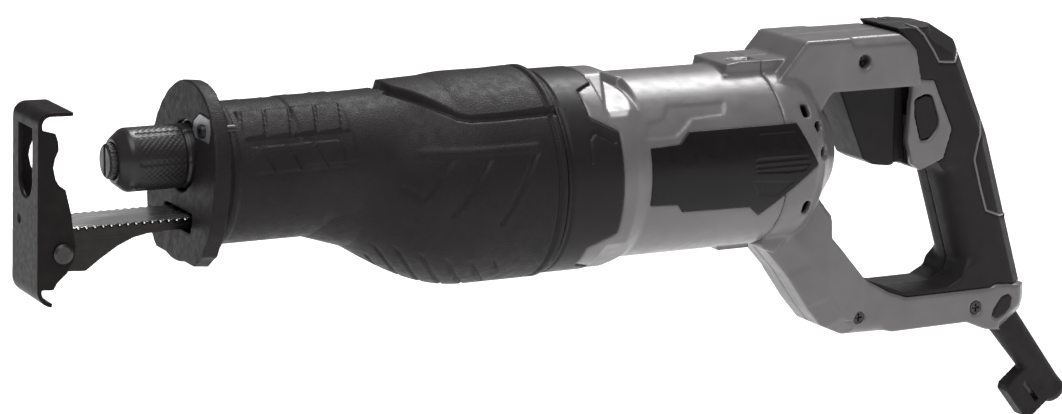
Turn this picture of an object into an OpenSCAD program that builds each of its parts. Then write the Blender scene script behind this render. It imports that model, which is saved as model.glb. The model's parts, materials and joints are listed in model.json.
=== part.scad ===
// Corded reciprocating saw: front shoe, quick-release blade chuck, wobble drive,
// universal motor and a closed D-handle.
// Frame: +X runs from the nose to the handle, +Z is up, the left side is -Y.
// The origin is the mouth of the blade slot, on the spindle's axis.

/* [Spindle and chuck] */
// Radius of the spindle
spindle_r = 7; // [6:0.5:8]
// Radius of the chuck's twist sleeve
sleeve_r = 13.6; // [13:0.1:14.2]
// Radius of the chuck's nose cap
cap_r = 7.6; // [7.4:0.1:8.2]
// Height of the blade slot, for a 12.7 mm shank
slot_h = 13.2; // [12.9:0.1:13.8]
// Width of the blade slot
slot_w = 2.2; // [1.6:0.1:2.4]

/* [Shoe] */
// Width of the shoe plate across both cheeks
shoe_w = 33.4; // [32:0.1:36]
// Thickness of the shoe's sheet steel
shoe_t = 1.8; // [1.5:0.1:2]
// Height of the shoe above its pivot
shoe_up = 59; // [56:1:62]
// Backward lean of the shoe at rest, in degrees
shoe_lean = 1.5; // [0:0.1:6]

/* [Nose and gearbox] */
// Outer radius of the neck
neck_r = 30.4; // [30:0.1:31.5]
// Height of the neck's centre relative to the spindle
neck_z = -8.7; // [-9.5:0.1:-8]
// Largest outer radius of the gearbox belly
belly_r = 46.4; // [46:0.1:47]
// Thickness of the rubber boot
boot_t = 3; // [2.5:0.1:3.2]
// Wall thickness of the gearbox casting
casting_t = 3.2; // [2.8:0.1:3.6]

/* [Motor] */
// Height of the motor's axis relative to the spindle
motor_z = -20; // [-20.5:0.1:-19.5]
// Outer radius of the motor barrel
barrel_r = 42; // [41.6:0.1:42.4]
// Radius of the armature core
core_r = 20; // [18:0.5:21]
// Radius of the cooling fan
fan_r = 30; // [28:0.5:31]

/* [Gears] */
// Tooth module
gear_m = 0.8; // [0.8:0.01:0.82]
// Teeth on the motor pinion
pinion_teeth = 10; // [10:1:10]
// Teeth on the layshaft gear
wheel_teeth = 42; // [42:1:42]

/* [Handle] */
// Half width of the bridge and the front leg
bridge_w = 21.8; // [21:0.1:22.5]
// Half width of the grip across its rubber
grip_w = 17.2; // [16.6:0.1:18]
// Thickness of the rubber on the grip
grip_t = 2.2; // [1.8:0.1:2.4]
// Half width of the handle's lower bar
bar_w = 18; // [17.6:0.1:18.6]

/* [Hidden] */
$fn = 72;

run = 0.06;     // radial clearance of a shaft that turns or slides
gap = 0.3;      // clearance between pieces that move past each other
far = 80;       // longer than any cut needs to be

black = [0.12, 0.11, 0.12];
dark = [0.18, 0.17, 0.18];
grey = [0.45, 0.44, 0.45];
steel = [0.62, 0.63, 0.65];
alloy = [0.70, 0.70, 0.71];
copper = [0.72, 0.40, 0.22];

// ---- shapes that repeat --------------------------------------------------

// Cylinder along X from x0 to x1
module x_rod(x0, x1, r, z = 0, y = 0) {
    translate([x0, y, z]) rotate([0, 90, 0]) cylinder(h = x1 - x0, r = r);
}

// Tube along X
module x_tube(x0, x1, r_out, r_in, z = 0, y = 0) {
    difference() {
        x_rod(x0, x1, r_out, z, y);
        x_rod(x0 - 1, x1 + 1, r_in, z, y);
    }
}

// Solid of revolution about the X line at height z; points are [radius, x]
module x_turn(points, z = 0) {
    translate([0, 0, z]) rotate([0, 90, 0]) rotate_extrude() polygon(points);
}

// Prism across Y from y0 to y1; points are [x, z]
module y_prism(points, y0, y1) {
    translate([0, y1, 0]) rotate([90, 0, 0]) linear_extrude(height = y1 - y0) polygon(points);
}

// Prism along X from x0 to x1; points are [y, z]
module x_prism(points, x0, x1) {
    translate([x0, 0, 0]) rotate([90, 0, 90]) linear_extrude(height = x1 - x0) polygon(points);
}

// Prism along Z from z0 to z1; points are [x, y]
module z_prism(points, z0, z1) {
    translate([0, 0, z0]) linear_extrude(height = z1 - z0) polygon(points);
}

// Cylinder along Y from y0 to y1
module y_rod(y0, y1, r, x, z) {
    translate([x, y1, z]) rotate([90, 0, 0]) cylinder(h = y1 - y0, r = r);
}

// Cuboid between two opposite corners
module block(low, high) {
    translate(low) cube(high - low);
}

// Points along an arc from angle a0 to a1 about a centre
function arc(c, r, a0, a1, steps = 8) =
    [for (i = [0:steps]) let (a = a0 + (a1 - a0) * i / steps) c + r * [cos(a), sin(a)]];

function polar(r, a) = [r * cos(a), r * sin(a)];

// Outline of a spur gear, with straight flanks and room for backlash
function gear_outline(teeth, m) =
    let (
        rp = teeth * m / 2,
        tip_half = 0.26 * m / (rp + 0.85 * m) * 180 / PI,
        root_half = 0.98 * m / (rp - 1.2 * m) * 180 / PI
    )
    [for (i = [0:teeth - 1]) let (a = i * 360 / teeth) each [
        polar(rp - 1.2 * m, a - root_half), polar(rp + 0.85 * m, a - tip_half),
        polar(rp + 0.85 * m, a + tip_half), polar(rp - 1.2 * m, a + root_half)
    ]];

module x_gear(teeth, m, x0, x1, z, bore, turn = 0) {
    translate([x0, 0, z]) rotate([0, 90, 0]) rotate([0, 0, turn])
        linear_extrude(height = x1 - x0) difference() {
            polygon(gear_outline(teeth, m));
            circle(r = bore);
        }
}

// Deep-groove ball bearing along X: two races and a ring of balls
module ball_bearing(x0, width, z, r_out, r_in, balls = 8) {
    r_mid = (r_out + r_in) / 2;
    ball_r = (r_out - r_in) * 0.24;
    xc = x0 + width / 2;
    difference() {
        x_tube(x0, x0 + width, r_out, r_mid + ball_r * 0.55, z);
        translate([xc, 0, z]) rotate([0, 90, 0]) rotate_extrude()
            translate([r_mid, 0]) circle(r = ball_r + 0.05);
    }
    difference() {
        x_tube(x0, x0 + width, r_mid - ball_r * 0.55, r_in + run, z);
        translate([xc, 0, z]) rotate([0, 90, 0]) rotate_extrude()
            translate([r_mid, 0]) circle(r = ball_r + 0.05);
    }
    for (i = [0:balls - 1])
        translate([xc, r_mid * sin(i * 360 / balls), z + r_mid * cos(i * 360 / balls)])
            sphere(r = ball_r, $fn = 24);
}

// ---- shoe -----------------------------------------------------------------

pivot = [-24.6, -33.7];     // x and z of the shoe's rivet
rivet_r = 3;
face_x = -10.8;             // front of the shoe plate, from the pivot
lip_r = 5.5;                // outer radius of the upper lip
lip_x = 4.2;                // rear edge of the upper lip
curl_r = 7.4;               // outer radius of the lower curl
curl_z = -15.3;             // height at which the lower curl begins
arm_w = 14.5;               // half width of the steel arm
arm_top = -23.8;            // height of the arm's flat top
arm_end = 95;               // rear end of the arm, inside the nose
arm_t = 1.8;                // sheet thickness of the arm
window_w = 8.6;             // half width of the blade window

module shoe_plate() {
    half = shoe_w / 2;
    top_c = [face_x + lip_r, shoe_up - lip_r];
    low_c = [face_x + curl_r, curl_z];
    sheet = concat(
        [[lip_x, shoe_up - shoe_t], [lip_x, shoe_up]],
        arc(top_c, lip_r, 90, 180), arc(low_c, curl_r, 180, 262),
        arc(low_c, curl_r - shoe_t, 262, 180), arc(top_c, lip_r - shoe_t, 180, 90)
    );
    cheek = [
        [face_x, -15], [-3.8, -15.3], [-2.1, -12.3], [2, -8.6], [5.2, -3.3], [5.7, 2.7], [4.6, 8.1],
        [3.8, 15.8], [2.2, 22.3], [1.2, 26.5], [-1.7, 28.6], [-3.2, 31.2], [-4.2, 36], [-3.5, 39.7],
        [-1.9, 43.2], [-2.2, 46.9], [-3.3, 50.2], [face_x, 52.2]
    ];
    color(black) translate([pivot[0], 0, pivot[1]]) rotate([0, shoe_lean, 0]) difference() {
        union() {
            y_prism(sheet, -half, half);
            for (s = [-1, 1])
                y_prism(cheek, s > 0 ? half - shoe_t : -half, s > 0 ? half : -half + shoe_t);
        }
        y_rod(-half - 1, half + 1, rivet_r + run, 0, 0);
        block([face_x - 1, -window_w, 30], [face_x + shoe_t + 0.4, window_w, 51.5]);
        x_rod(face_x - 1, face_x + shoe_t + 0.4, window_w, 30);
        translate([face_x - 3.2, 7.2, 11]) sphere(r = 4, $fn = 24);
    }
}

module shoe_rivet() {
    half = shoe_w / 2;
    color(steel) {
        y_rod(-half - 0.4, half + 0.4, rivet_r, pivot[0], pivot[1]);
        for (s = [-1, 1]) translate([pivot[0], s * (half + 0.3), pivot[1]]) rotate([-90 * s, 0, 0]) {
            cylinder(h = 0.8, r = 4.2);
            translate([0, 0, 0.8]) cylinder(h = 0.7, r1 = 4.2, r2 = 3.1);
        }
    }
}

module shoe_arm() {
    flange = concat(
        arc(pivot, 8.4, 100, 255),
        [[-14, -42.5], [-7.7, -38], [0, -33.2], [7, -30.2], [13.5, -29], [30, -28.5],
         [arm_end, -28.5], [arm_end, arm_top - 0.2], [-22, arm_top - 0.2]]
    );
    color(dark) difference() {
        union() {
            block([-22, -arm_w, arm_top - arm_t], [arm_end, arm_w, arm_top]);
            for (s = [-1, 1])
                y_prism(flange, s > 0 ? arm_w - arm_t : -arm_w, s > 0 ? arm_w : -arm_w + arm_t);
        }
        y_rod(-arm_w - 1, arm_w + 1, rivet_r, pivot[0], pivot[1]);
        for (i = [0:14], s = [-1, 1])
            translate([-17 + i * 3.6, s * arm_w, arm_top])
                cube([1.5, 2.4, 1.6], center = true);
    }
}

clamp_x = [72, 88];         // places of the arm's clamp screws

module arm_clamp_plate() {
    color(steel) block([66, -arm_w + arm_t + 0.3, -28.4], [94, arm_w - arm_t - 0.3, -25.7]);
}

module arm_clamp_screws() {
    color(dark) for (x = clamp_x) difference() {
        translate([x, 0, -37.2]) cylinder(h = 8.7, r = 3);
        translate([x, 0, -38.2]) cylinder(h = 4, r = 1.5, $fn = 6);
    }
}

// ---- chuck and spindle ----------------------------------------------------

module blade_slot(x1) {
    block([-1, -slot_w / 2, -slot_h / 2], [x1, slot_w / 2, slot_h / 2]);
}

module chuck_cap() {
    color(dark) difference() {
        x_turn([[0, 0], [cap_r - 1, 0], [cap_r, 1], [cap_r, 4.2], [0, 4.2]]);
        blade_slot(5);
        for (i = [0:15])
            rotate([i * 22.5 + 11.25, 0, 0]) translate([2.4, 0, cap_r]) rotate([0, 90, 0])
                cylinder(h = 4, r = 0.45, center = true, $fn = 6);
    }
}

module chuck_body() {
    color(steel) difference() {
        x_turn([[0, 4.2], [cap_r - 0.2, 4.2], [cap_r - 0.2, 4.9], [9, 4.9], [9, 40], [0, 40]]);
        blade_slot(28);
        x_rod(30, 41, 6);
        translate([20, 0, 0]) cylinder(h = 20, r = 2);
    }
}

module chuck_pin() {
    color(steel) translate([20, 0, 1.3]) cylinder(h = 7.4, r = 2);
}

module chuck_sleeve() {
    color(dark) difference() {
        x_turn([
            [cap_r + gap, 3.2], [9.6, 3.2], [10.6, 4.4], [sleeve_r - 0.5, 7.6], [sleeve_r, 9],
            [sleeve_r, 43], [sleeve_r - 1, 44.5], [11.8, 44.5], [11.8, 27], [9 + run, 27],
            [9 + run, 4.6], [cap_r + gap, 4.6]
        ]);
        for (i = [0:5])
            rotate([i * 60 + 30, 0, 0]) translate([24, 0, sleeve_r + 1.6]) rotate([0, 90, 0])
                cylinder(h = 26, r = 2, center = true, $fn = 24);
    }
}

module chuck_spring() {
    color(steel) for (i = [0:5])
        translate([29 + i * 1.9, 0, 0]) rotate([0, 90, 0]) rotate_extrude()
            translate([10.3, 0]) circle(r = 0.8, $fn = 16);
}

module sleeve_circlip() {
    color(steel) x_tube(40.4, 41.4, 11.4, spindle_r);
}

wobble_x = 150;             // station of the wobble drive along the layshaft
lever_ball_r = 5;

module spindle() {
    color(steel) difference() {
        union() {
            x_rod(30, 40, 6);
            x_rod(40, 168, spindle_r);
            x_rod(wobble_x - 11, wobble_x + 11, 8.5);
        }
        translate([wobble_x, 0, -far / 2]) cylinder(h = far, r = lever_ball_r + gap);
        block([wobble_x - 8.4, -5.8, -10], [wobble_x + 8.4, 5.8, -3.4]);
    }
}

bush_r = 11;                // outer radius of the bushes and of the seal

module felt_seal() { color([0.55, 0.5, 0.42]) x_tube(61, 65, bush_r, spindle_r + gap); }
module front_bush() { color([0.7, 0.55, 0.3]) x_tube(65.5, 84, bush_r, spindle_r + run); }
module rear_bush() { color([0.7, 0.55, 0.3]) x_tube(100, 117, bush_r, spindle_r + run); }

// ---- nose and gearbox ------------------------------------------------------

boot_end = 194;             // rear edge of the rubber boot
belly_start = 98;           // where the belly grows out of the neck
belly_full = 160;           // where the belly is widest
flange_c = [34, -6.5];      // x and z of the flange's centre
flange_lean = 5.7;
flange_r = 38.5;
flange_t = 7;

// Outer radius of the belly at a station, a quarter sine wave
function belly(x) = 20 + (belly_r - 20) * sin(90 * min(1, (x - belly_start) / (belly_full - belly_start)));

// Belly and neck together, shrunk by an inset
module nose_form(inset, x_front, x_rear) {
    steps = 11;
    x_rod(x_front, 150, neck_r - inset, neck_z);
    x_turn(concat(
        [[0, belly_start], [20 - inset, belly_start]],
        [for (i = [1:steps]) let (x = belly_start + (belly_full - belly_start) * i / steps)
            [belly(x) - inset, x]],
        [[belly_r - inset, x_rear], [0, x_rear]]
    ), motor_z);
}

// The nose's D-shaped flange as a prism along X
module flange_form(depth) {
    r = flange_r;
    translate([flange_c[0], 0, flange_c[1]]) rotate([0, flange_lean, 0]) {
        x_rod(0, depth, r);
        x_prism([
            [-r, 0], [-r, -14], [-37, -21], [-31, -31], [-22, -37], [22, -37], [31, -31], [37, -21],
            [r, -14], [r, 0]
        ], 0, depth);
    }
}

arm_gate = [16, -30.6, -22.6];      // half width, floor and roof of the arm's gate
lug = [[-7.2, 9.4], [-9.6, 16.4], [-16.3, 20.2], [-26.4, 19.4], [-28.4, 13.2], [-27, 9.4]];
lug_hole = [-20.5, 13.6];

module nose_boot() {
    color(black) difference() {
        union() {
            flange_form(flange_t);
            nose_form(0, 38, boot_end);
            intersection() {
                y_prism([[117, 10], [121, 27], [boot_end, 27], [boot_end, 10]], -29, 29);
                x_rod(110, boot_end, belly_r + 0.9, motor_z);
            }
        }
        nose_form(boot_t, 37.9, boot_end + 1);
        x_rod(20, 50, 15.2);
        block([20, -arm_gate[0], arm_gate[1]], [60, arm_gate[0], arm_gate[2]]);
        x_prism(lug, 20, 45);
        x_rod(30, 50.3, 2 + run, lug_hole[1], lug_hole[0]);
        for (x = clamp_x) translate([x, 0, -50]) cylinder(h = 20, r = 3.6);
    }
}

module nose_plate() {
    r = neck_r - boot_t;
    color(alloy) difference() {
        union() {
            x_rod(38, 42, r, neck_z);
            x_prism(lug, 36.2, 38.1);
        }
        x_rod(30, 50, 14.6);
        block([30, -arm_gate[0], arm_gate[1]], [50, arm_gate[0], arm_gate[2]]);
        x_rod(30, 50, 2, lug_hole[1], lug_hole[0]);
    }
}

module nose_screw() {
    color(dark) difference() {
        union() {
            x_rod(34.4, 36.2, 3, lug_hole[1], lug_hole[0]);
            x_rod(36.2, 50, 2, lug_hole[1], lug_hole[0]);
        }
        x_rod(33, 35.4, 1.4, lug_hole[1], lug_hole[0], $fn = 6);
    }
}

lay_z = motor_z - gear_m * (pinion_teeth + wheel_teeth) / 2 - 0.1;
plate_x = 190;              // rear face of the gearbox casting
screw_ring = 36;            // radius of the ring of gearbox screws
screw_angles = [45, 135, 225, 315];
lay_front = [3.5, 9.5, 124.5, 6.5];     // inner and outer radius, start and width
lay_rear = [4, 8, 187, 5];
motor_front = [4, 11, 187.5, 7];
motor_rear = [3.5, 9.5, 296, 6.5];

module at_screws() {
    for (a = screw_angles)
        translate([0, screw_ring * cos(a), motor_z + screw_ring * sin(a)]) children();
}

module gearbox_housing() {
    inset = boot_t + casting_t;
    steps = 5;
    x_cav = 132;
    color(alloy) difference() {
        nose_form(boot_t, 42, plate_x);
        difference() {
            x_turn(concat(
                [[0, x_cav]],
                [for (i = [0:steps]) let (x = x_cav + (belly_full - x_cav) * i / steps)
                    [belly(x) - inset, x]],
                [[belly_r - inset, plate_x + 1], [0, plate_x + 1]]
            ), motor_z);
            at_screws() x_rod(166, 186, 4.6);
        }
        at_screws() x_rod(176, plate_x + 1, 2);
        x_rod(40, 60, 15.2);
        x_rod(59, x_cav + 1, bush_r);
        x_rod(lay_front[2], x_cav + 1, lay_front[1], lay_z);
        block([40, -arm_w - 0.4, -29.2], [108, arm_w + 0.4, -23.2]);
        for (x = clamp_x) translate([x, 0, -50]) cylinder(h = 23, r = 3);
        x_rod(41, 50, 2, lug_hole[1], lug_hole[0]);
    }
}

module bearing_plate() {
    r_in = belly_r - boot_t - casting_t;
    color(alloy) difference() {
        union() {
            x_rod(186.2, plate_x, r_in, motor_z);
            x_rod(plate_x, 196, collar_r - collar_t - 0.1, motor_z);
        }
        x_rod(motor_front[2], 200, motor_front[1], motor_z);
        x_rod(180, 200, 6.5, motor_z);
        x_rod(180, lay_rear[2] + lay_rear[3], lay_rear[1], lay_z);
        at_screws() x_rod(180, 200, 2.2);
    }
}

module gearbox_screws() {
    color(steel) at_screws() difference() {
        union() {
            x_rod(177, 200, 2);
            x_rod(200, 203.4, 3.6);
        }
        x_rod(201.4, 204, 1.5, $fn = 6);
    }
}

module layshaft_front_bearing() {
    color(steel) ball_bearing(lay_front[2], lay_front[3], lay_z, lay_front[1], lay_front[0]);
}
module layshaft_rear_bearing() {
    color(steel) ball_bearing(lay_rear[2], lay_rear[3], lay_z, lay_rear[1], lay_rear[0]);
}

// ---- wobble drive -----------------------------------------------------------

drum_r = 11;
race_r = 12.9;              // spherical bore of the wobble ring
ball_r = 2.4;
ball_ring = 10;             // radius of the circle of drive balls
wobble_angle = 20;

module layshaft() {
    color(steel) {
        x_rod(124.8, 132, lay_front[0], lay_z);
        x_rod(132, 186.6, 5, lay_z);
        x_rod(186.6, 191.8, lay_rear[0], lay_z);
    }
}

module layshaft_gear() {
    color(steel) x_gear(wheel_teeth, gear_m, 173, 183, lay_z, 5, 180 / wheel_teeth);
}

module at_drive_balls() {
    for (i = [0:11])
        translate([wobble_x, 0, lay_z]) rotate([0, 0, wobble_angle]) rotate([i * 30, 0, 0])
            translate([0, 0, ball_ring]) children();
}

module wobble_drum() {
    color(steel) difference() {
        intersection() {
            translate([wobble_x, 0, lay_z]) sphere(r = drum_r);
            x_rod(wobble_x - 8.5, wobble_x + 8.5, drum_r, lay_z);
        }
        x_rod(130, 170, 5, lay_z);
        at_drive_balls() sphere(r = ball_r + 0.05, $fn = 24);
    }
}

module wobble_balls() {
    color(steel) at_drive_balls() sphere(r = ball_r, $fn = 24);
}

module wobble_ring() {
    color(alloy) difference() {
        union() {
            x_rod(wobble_x - 6.5, wobble_x + 6.5, 16.5, lay_z);
            translate([wobble_x, 0, lay_z + 15]) cylinder(h = -lay_z - 15, r = 3.5);
            translate([wobble_x, 0, lay_z + 14]) cylinder(h = 8, r1 = 6, r2 = 3.5);
            translate([wobble_x, 0, 0]) sphere(r = lever_ball_r);
        }
        translate([wobble_x, 0, lay_z]) sphere(r = race_r);
    }
}

// ---- motor -------------------------------------------------------------------

stack = [220, 262];         // ends of the armature's and the stator's laminations
barrel_end = 308;

module armature_shaft() {
    color(steel) {
        x_rod(171, 187.2, 3, motor_z);
        x_rod(187.2, 195.2, motor_front[0], motor_z);
        x_rod(195.2, 295.4, 5, motor_z);
        x_rod(295.4, 303, motor_rear[0], motor_z);
    }
}

module drive_pinion() {
    color(steel) x_gear(pinion_teeth, gear_m, 172, 184.5, motor_z, 3);
}

module armature_core() {
    slots = 12;
    color(grey) translate([stack[0], 0, motor_z]) rotate([0, 90, 0])
        linear_extrude(height = stack[1] - stack[0]) difference() {
            circle(r = core_r);
            circle(r = 5);
            for (i = [0:slots - 1]) rotate([0, 0, i * 360 / slots]) {
                translate([core_r * 0.74, 0]) circle(r = 2.6, $fn = 24);
                translate([core_r * 0.8, -0.8]) square([core_r * 0.3, 1.6]);
            }
        }
}

module armature_winding() {
    color(copper) for (span = [[stack[0] - 6.5, stack[0]], [stack[1], stack[1] + 8]])
        x_turn([
            [5, span[0]], [13, span[0]], [17, span[0] + 2], [17, span[1] - 1],
            [16, span[1]], [5, span[1]]
        ], motor_z);
}

module commutator() {
    color(copper) difference() {
        x_tube(274, 290, 12, 5, motor_z);
        for (i = [0:23])
            translate([283.5, 0, motor_z]) rotate([i * 15, 0, 0]) translate([0, 0, 12])
                cube([14, 0.5, 1.6], center = true);
    }
}

module cooling_fan() {
    blades = 12;
    color(dark) {
        x_tube(204, 206, fan_r, 5, motor_z);
        x_tube(206, 212, 9, 5, motor_z);
        for (i = [0:blades - 1])
            translate([0, 0, motor_z]) rotate([i * 360 / blades, 0, 0])
                block([205.9, -0.8, 12], [212, 0.8, fan_r - 0.4]);
    }
}

module motor_front_bearing() {
    color(steel) ball_bearing(motor_front[2], motor_front[3], motor_z, motor_front[1], motor_front[0]);
}
module motor_rear_bearing() {
    color(steel) ball_bearing(motor_rear[2], motor_rear[3], motor_z, motor_rear[1], motor_rear[0]);
}

stator_r = 38;
barrel_in = 39;

module stator_core() {
    color(grey) translate([stack[0], 0, motor_z]) rotate([0, 90, 0])
        linear_extrude(height = stack[1] - stack[0]) difference() {
            circle(r = stator_r);
            circle(r = core_r + 0.6);
            for (s = [-1, 1], t = [-1, 1]) translate([s * 15.5, t * 23.5])
                square([15, 12], center = true);
        }
}

module field_coils() {
    color(copper) for (s = [-1, 1], t = [-1, 1])
        block(
            [stack[0] - 5, min(t * 19, t * 28), motor_z + min(s * 10, s * 21)],
            [stack[1] + 7, max(t * 19, t * 28), motor_z + max(s * 10, s * 21)]
        );
}

module fan_baffle() {
    color(dark) x_turn([
        [fan_r - 3, 213.2], [barrel_in, 213.2], [barrel_in, 205.4], [fan_r + 1.2, 205.4],
        [fan_r + 1.2, 212], [fan_r - 3, 212]
    ], motor_z);
}

brush_x = 283;

module at_brushes() {
    for (s = [-1, 1]) translate([brush_x, 0, motor_z]) rotate([s > 0 ? 0 : 180, 0, 0]) children();
}

module brush_holders() {
    color([0.75, 0.62, 0.3]) at_brushes() difference() {
        block([-5, 14.5, -6], [5, 37.5, 6]);
        block([-3.6, 13, -4.6], [3.6, 36, 4.6]);
    }
}
module carbon_brushes() {
    color(dark) at_brushes() block([-3.5, 12.3, -4.5], [3.5, 26, 4.5]);
}
module brush_springs() {
    color(steel) at_brushes() for (i = [0:4])
        translate([0, 27.1 + i * 1.8, 0]) rotate([90, 0, 0]) rotate_extrude()
            translate([2.6, 0]) circle(r = 0.6, $fn = 12);
}

// ---- outer shells --------------------------------------------------------------

collar_r = 45.6;
collar_t = 2.3;
collar_rear = 210;
flare_r = 45.2;

// Ring, side tabs and upper and lower tabs of the collar, as one solid form
module collar_form(grow) {
    intersection() {
        x_turn([
            [collar_r - collar_t, 195], [collar_r, 195], [collar_r, 230], [collar_r - collar_t, 230]
        ], motor_z);
        union() {
            block([190, -far, motor_z - far], [collar_rear + grow, far, motor_z + far]);
            y_prism([
                [200, motor_z + 29 + grow], [collar_rear, motor_z + 29 + grow],
                [222.5 + grow, motor_z + 22.5 + grow], [222.5 + grow, motor_z - 22.5 - grow],
                [collar_rear, motor_z - 29 - grow], [200, motor_z - 29 - grow]
            ], -far, far);
            z_prism([
                [200, -23 - grow], [collar_rear, -23 - grow], [218.5 + grow, -18.5 - grow],
                [218.5 + grow, 18.5 + grow], [collar_rear, 23 + grow], [200, 23 + grow]
            ], motor_z - far, motor_z + far);
        }
    }
}

module front_collar() {
    color(dark) collar_form(0);
}

panel = [
    [238.2, -5.8], [253.2, -5.2], [258.4, -0.4], [314.2, -0.4], [323.7, -19.4], [296, -41.7],
    [290.1, -37], [255.3, -36.2], [252.4, -32.5], [238.2, -31.8]
];
panel_r = 41.2;             // radius at the back of the side panels

module panel_form(side, r_out) {
    intersection() {
        y_prism(panel, side > 0 ? 20 : -60, side > 0 ? 60 : -20);
        x_tube(230, 330, r_out, panel_r, motor_z);
    }
}

module side_panel_left() { color(black) panel_form(-1, barrel_r + 0.3); }
module side_panel_right() { color(black) panel_form(1, barrel_r + 0.3); }

module motor_housing() {
    color(grey) difference() {
        union() {
            x_turn([
                [0, 196], [43.2, 196], [43.2, 200], [flare_r, 200], [flare_r, 229],
                [barrel_r, 237], [barrel_r, barrel_end], [0, barrel_end]
            ], motor_z);
            intersection() {
                y_prism([
                    [288, 15], [290, 24.2], [297, 25], [barrel_end, 24.8], [barrel_end, 15]
                ], -15.4, 15.4);
                z_prism([
                    [287, -12.8], [290.6, -15.4], [barrel_end, -15.4], [barrel_end, 15.4],
                    [290.6, 15.4], [287, 12.8]
                ], 0, 40);
            }
            block([292, -8, -63.2], [barrel_end, 8, -55]);
        }
        collar_form(0.2);
        x_rod(195, 199, 38, motor_z);
        x_rod(195, 205.4, fan_r + 1.2, motor_z);
        x_rod(205.4, 294, barrel_in, motor_z);
        x_rod(motor_rear[2] - 3, motor_rear[2] + motor_rear[3], motor_rear[1], motor_z);
        x_rod(300, barrel_end + 1, 7, motor_z);
        x_rod(304.5, barrel_end + 1, barrel_in, motor_z);
        at_screws() x_rod(190, 200, 2.1);
        at_screws() x_rod(200, 212, 4.2);
        for (a = [45, 135, 225, 315]) translate([0, 26 * cos(a), motor_z + 26 * sin(a)])
            x_rod(290, barrel_end + 1, 6);
        for (a = [57, 123, 237, 303]) translate([0, 0, motor_z]) rotate([a - 90, 0, 0])
            block([219.5, -16, 42.9], [236.5, 16, 60]);
        for (s = [-1, 1]) panel_form(s, 50);
        for (s = [-1, 1]) intersection() {
            y_prism([[236, -2.4], [239.5, 4.8], [247, 5.2], [251.8, 10.6], [281.9, 10.4], [278.5, 5],
                     [262, 4.6], [257, 0.8], [251.5, -2.6]], s > 0 ? 20 : -60, s > 0 ? 60 : -20);
            x_tube(230, 290, 50, barrel_r - 0.6, motor_z);
        }
    }
}

// Outlines of the handle, as [x, z]
bridge_line = [
    [barrel_end, 13.6], [311, 13.6], [315.2, 17.9], [328.4, 33.2], [381, 33.2], [388, 25.5],
    [391.4, 10], [391.4, 8.5], [343, 8.5], [334, -4], [barrel_end, -4]
];
leg_line = [
    [barrel_end, -34], [barrel_end, -61.4], [315.6, -64.6], [326.6, -77], [339, -94.8],
    [346.6, -103.8], [358, -108.9], [366, -109.2], [366, -82.2], [345.2, -59.4], [344.8, -49.4],
    [338, -41], [332, -34]
];
bar_line = [
    [365, -109.2], [424, -108.4], [435, -113], [446, -114.4], [457, -106.4], [459.4, -99], [459, -93],
    [440, -91.4], [437, -93], [390, -93], [380, -89.5], [365, -81.2]
];
core_line = [
    [382, 33.4], [402, 33.4], [414.5, 26], [418, 18.3], [422.6, 10.2], [435.4, -21.3],
    [449.2, -60.5], [455.8, -83], [457, -93], [424, -93], [424.8, -80], [411, -35], [399, -12],
    [392, 9]
];
frame_line = [
    [389.2, 11], [401, 9.9], [412.1, -13.9], [407.7, -27.9], [395.1, -32.6], [390.4, -29.5],
    [387.4, -18], [388.6, 2]
];
grip_line = [
    [379.6, 35.6], [403, 35.6], [416.5, 27.6], [420, 19], [425, 11], [437.6, -20.7],
    [451.4, -60], [458, -82.4], [459.6, -93], [449.7, -93.2], [441.8, -91.3], [438.4, -94.9],
    [387.5, -94.8], [381.8, -90.6], [365.2, -81.4], [388, -90.4], [413, -90.4], [420.5, -86.6],
    [422.8, -80], [409, -35], [400, -22], [391.4, 8.6], [388.4, 25.5]
];
lock_line = [
    [390.4, 1.5], [396.8, 3.6], [400.4, 2.6], [404.6, -8.9], [404.2, -12.8], [399.4, -18.2],
    [394.6, -18.6], [391, -6.7]
];

core_bevel = 8.4;           // width and depth of the bevels behind the grip
cover_bevel = 8.7;
bar_bevel = 5.6;
leg_bevel = 10.6;

// Bars that cut bevels along the edges of a prism of half width w, over a line of [x, z] corners.
// Every second bevel is a little smaller, so no four faces meet at one point.
module edge_bars(line, w, leg, sides = [-1, 1]) {
    for (i = [0:len(line) - 2], s = sides)
        let (d = line[i + 1] - line[i], c = (leg - 0.7 * (i % 2)) / sqrt(2))
        translate([line[i][0], s * w, line[i][1]]) rotate([0, -atan2(d[1], d[0]), 0]) rotate([45, 0, 0])
            block([-1.5, -c, -c], [norm(d) + 1.5, c, c]);
}

// Outside of both handle shells together, without the rubber
module handle_outside() {
    core_w = grip_w - grip_t;
    x_turn([
        [0, barrel_end], [barrel_r, barrel_end], [barrel_r, 323], [38.5, 329], [28.5, 337.5],
        [20.5, 345.5], [12, 348.5], [0, 349]
    ], motor_z);
    difference() {
        y_prism(bridge_line, -bridge_w, bridge_w);
        for (s = [-1, 1]) translate([0, s * (bridge_w + 2.3), 33.2 + 2.3]) rotate([45, 0, 0])
            block([353, -6, -6], [400, 6, 6]);
    }
    y_prism([[barrel_end, 10], [barrel_end, 24.8], [320.4, 24.8], [320.4, 10]], -15.4, 15.4);
    difference() {
        y_prism(leg_line, -bridge_w, bridge_w);
        edge_bars([[315.6, -64.6], [326.6, -77], [339, -94.8], [346.6, -103.8], [358, -108.9]],
                  bridge_w, leg_bevel);
    }
    difference() {
        y_prism(bar_line, -bar_w, bar_w);
        edge_bars([[459, -92], [459.4, -99], [457, -106.4], [446, -114.4]], bar_w, bar_bevel);
    }
    difference() {
        y_prism(core_line, -core_w, core_w);
        edge_bars([[402, 33.4], [414.5, 26], [435.4, -21.3], [457, -93]], core_w, core_bevel);
    }
    y_prism(frame_line, -grip_w, grip_w);
}

relief_at = [455, -112];    // x and z where the strain relief leaves the handle
relief_turn = 141.6;        // tilt of the relief's axis from +Z, about Y

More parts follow.
